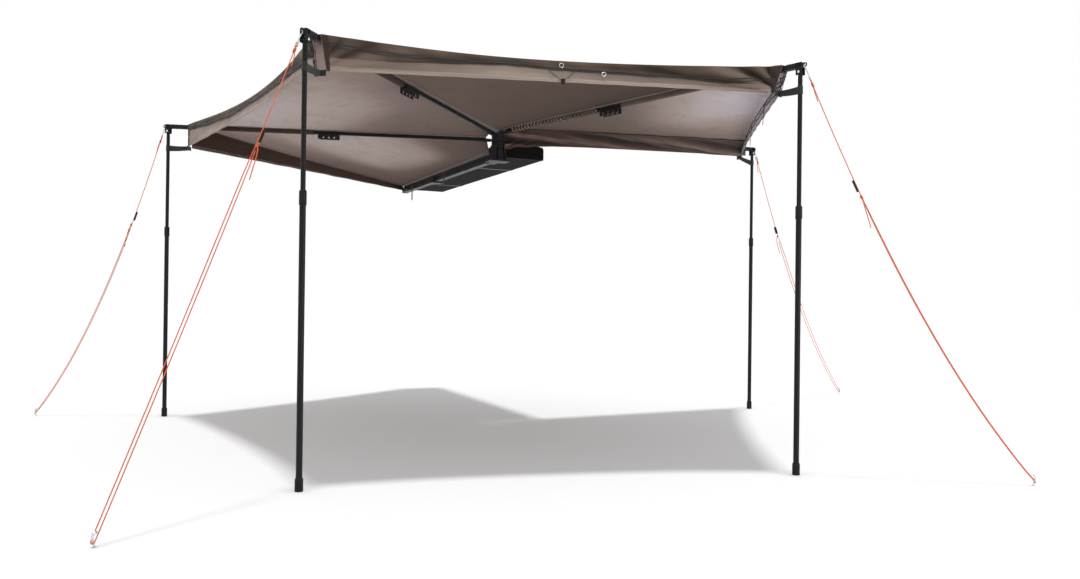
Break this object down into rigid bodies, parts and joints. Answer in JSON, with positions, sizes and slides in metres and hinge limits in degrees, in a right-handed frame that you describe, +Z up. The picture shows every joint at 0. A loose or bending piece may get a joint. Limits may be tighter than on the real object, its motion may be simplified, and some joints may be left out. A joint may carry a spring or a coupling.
{
  "type": "vehicle side awning",
  "caption": "Fan-shaped awning that swings out from a roof rack: canvas panels on hinged arms, telescopic legs, guy ropes and pegs.",
  "frame": {"origin": "on the hub axis, at the rear bracket's base face where it meets the roof rack", "axes": "+Z up, +Y forward along the backbone rail, +X inboard over the vehicle's roof; the ground is 1.565 m below"},
  "size_m": [5.7595, 4.4351, 1.8115],
  "materials": {
    "black_powder_coat": "satin black powder coat on aluminium",
    "black_casting": "glass-filled moulding, slightly glossy",
    "black_plastic": "fine grained",
    "rubber": "matte",
    "bright_steel": "zinc plated",
    "canvas": "ripstop canvas, taupe brown",
    "bag_cloth": "heavy coated cloth",
    "webbing": "woven strap",
    "orange_cord": "braided polyester"
  },
  "bodies": {
    "mount_frame": {"hub_bracket": "black_casting", "hub_pin": "bright_steel", "backbone_rail": "black_powder_coat", "rail_end_cap": "black_plastic", "mount_bracket_front": "black_powder_coat", "travel_bag": "bag_cloth", "bag_strap_rear": "webbing", "bag_strap_front": "webbing"},
    "arm_a": {"arm_a_knuckle": "black_casting", "arm_a_tube": "black_powder_coat", "arm_a_end_fitting": "black_casting", "arm_a_leg_clip": "black_plastic", "corner_strap_a": "webbing", "guy_a_rope": "orange_cord", "guy_a_tensioner": "black_plastic", "guy_a_peg": "bright_steel", "canopy_panel_front": "canvas"},
    "leg_a_upper": {"leg_a_upper_tube": "black_powder_coat"},
    "leg_a_lower": {"leg_a_lower_tube": "black_powder_coat", "leg_a_foot": "rubber"},
    "leg_a_lock": {"leg_a_lock_collar": "black_plastic"},
    "arm_b": {"arm_b_knuckle": "black_casting", "arm_b_tube": "black_powder_coat", "arm_b_end_fitting": "black_casting", "arm_b_leg_clip": "black_plastic", "corner_strap_b": "webbing", "guy_b_rope": "orange_cord", "guy_b_tensioner": "black_plastic", "guy_b_peg": "bright_steel", "canopy_panel_ab": "canvas"},
    "leg_b_upper": {"leg_b_upper_tube": "black_powder_coat"},
    "leg_b_lower": {"leg_b_lower_tube": "black_powder_coat", "leg_b_foot": "rubber"},
    "leg_b_lock": {"leg_b_lock_collar": "black_plastic"},
    "arm_c": {"arm_c_knuckle": "black_casting", "arm_c_tube": "black_powder_coat", "arm_c_end_fitting": "black_casting", "arm_c_leg_clip": "black_plastic", "corner_strap_c": "webbing", "guy_c_rope": "orange_cord", "guy_c_tensioner": "black_plastic", "guy_c_peg": "bright_steel", "canopy_panel_bc": "canvas"},
    "leg_c_upper": {"leg_c_upper_tube": "black_powder_coat"},
    "leg_c_lower": {"leg_c_lower_tube": "black_powder_coat", "leg_c_foot": "rubber"},
    "leg_c_lock": {"leg_c_lock_collar": "black_plastic"},
    "arm_d": {"arm_d_knuckle": "black_casting", "arm_d_tube": "black_powder_coat", "arm_d_end_fitting": "black_casting", "arm_d_leg_clip": "black_plastic", "corner_strap_d": "webbing", "guy_d_rope": "orange_cord", "guy_d_tensioner": "black_plastic", "guy_d_peg": "bright_steel", "canopy_panel_cd": "canvas"},
    "leg_d_upper": {"leg_d_upper_tube": "black_powder_coat"},
    "leg_d_lower": {"leg_d_lower_tube": "black_powder_coat", "leg_d_foot": "rubber"},
    "leg_d_lock": {"leg_d_lock_collar": "black_plastic"}
  },
  "joints": [
    {"name": "fold_a", "type": "hinge", "parent": "mount_frame", "child": "arm_a", "pos_m": [0, 0, 0.1275], "axis": [0, 0, -1], "range_deg": [0, 61], "deforming": ["canopy_panel_front", "corner_strap_a"]},
    {"name": "leg_a_swing", "type": "hinge", "parent": "arm_a", "child": "leg_a_upper", "pos_m": [-1.79238, 0.95303, 0.17997], "axis": [-0.4695, -0.8829, 0], "range_deg": [0, 87.67]},
    {"name": "leg_a_slide", "type": "slide", "parent": "leg_a_upper", "child": "leg_a_lower", "axis": [0, 0, 1], "range_m": [-0.3, 0.44]},
    {"name": "leg_a_twist", "type": "hinge", "parent": "leg_a_lower", "child": "leg_a_lock", "pos_m": [-1.79238, 0.95303, -0.43], "axis": [0, 0, 1], "range_deg": [0, 90]},
    {"name": "fold_b", "type": "hinge", "parent": "arm_a", "child": "arm_b", "pos_m": [0, 0, 0.1495], "axis": [0, 0, -1], "range_deg": [0, 71.5], "deforming": ["canopy_panel_ab", "corner_strap_b"]},
    {"name": "leg_b_swing", "type": "hinge", "parent": "arm_b", "child": "leg_b_upper", "pos_m": [-1.38237, -1.43149, 0.18798], "axis": [0.7193, -0.6947, 0], "range_deg": [0, 88.03]},
    {"name": "leg_b_slide", "type": "slide", "parent": "leg_b_upper", "child": "leg_b_lower", "axis": [0, 0, 1], "range_m": [-0.3, 0.44]},
    {"name": "leg_b_twist", "type": "hinge", "parent": "leg_b_lower", "child": "leg_b_lock", "pos_m": [-1.38237, -1.43149, -0.422], "axis": [0, 0, 1], "range_deg": [0, 90]},
    {"name": "fold_c", "type": "hinge", "parent": "arm_b", "child": "arm_c", "pos_m": [0, 0, 0.1715], "axis": [0, 0, -1], "range_deg": [0, 61], "deforming": ["canopy_panel_bc", "corner_strap_c"]},
    {"name": "leg_c_swing", "type": "hinge", "parent": "arm_c", "child": "leg_c_upper", "pos_m": [0.66761, -1.88528, 0.19599], "axis": [0.9426, 0.3338, 0], "range_deg": [0, 88.44]},
    {"name": "leg_c_slide", "type": "slide", "parent": "leg_c_upper", "child": "leg_c_lower", "axis": [0, 0, 1], "range_m": [-0.3, 0.44]},
    {"name": "leg_c_twist", "type": "hinge", "parent": "leg_c_lower", "child": "leg_c_lock", "pos_m": [0.66761, -1.88528, -0.414], "axis": [0, 0, 1], "range_deg": [0, 90]},
    {"name": "fold_d", "type": "hinge", "parent": "arm_c", "child": "arm_d", "pos_m": [0, 0, 0.1935], "axis": [0, 0, -1], "range_deg": [0, 69], "deforming": ["canopy_panel_cd", "corner_strap_d"]},
    {"name": "leg_d_swing", "type": "hinge", "parent": "arm_d", "child": "leg_d_upper", "pos_m": [1.91934, 0.05026, 0.20399], "axis": [-0.0262, 0.9997, 0], "range_deg": [0, 88.79]},
    {"name": "leg_d_slide", "type": "slide", "parent": "leg_d_upper", "child": "leg_d_lower", "axis": [0, 0, 1], "range_m": [-0.3, 0.44]},
    {"name": "leg_d_twist", "type": "hinge", "parent": "leg_d_lower", "child": "leg_d_lock", "pos_m": [1.91934, 0.05026, -0.406], "axis": [0, 0, 1], "range_deg": [0, 90]}
  ],
  "couplings": [
    {"joint": "fold_b", "follows": "fold_a", "ratio": 1.1721},
    {"joint": "fold_c", "follows": "fold_a", "ratio": 1},
    {"joint": "fold_d", "follows": "fold_a", "ratio": 1.1311}
  ]
}
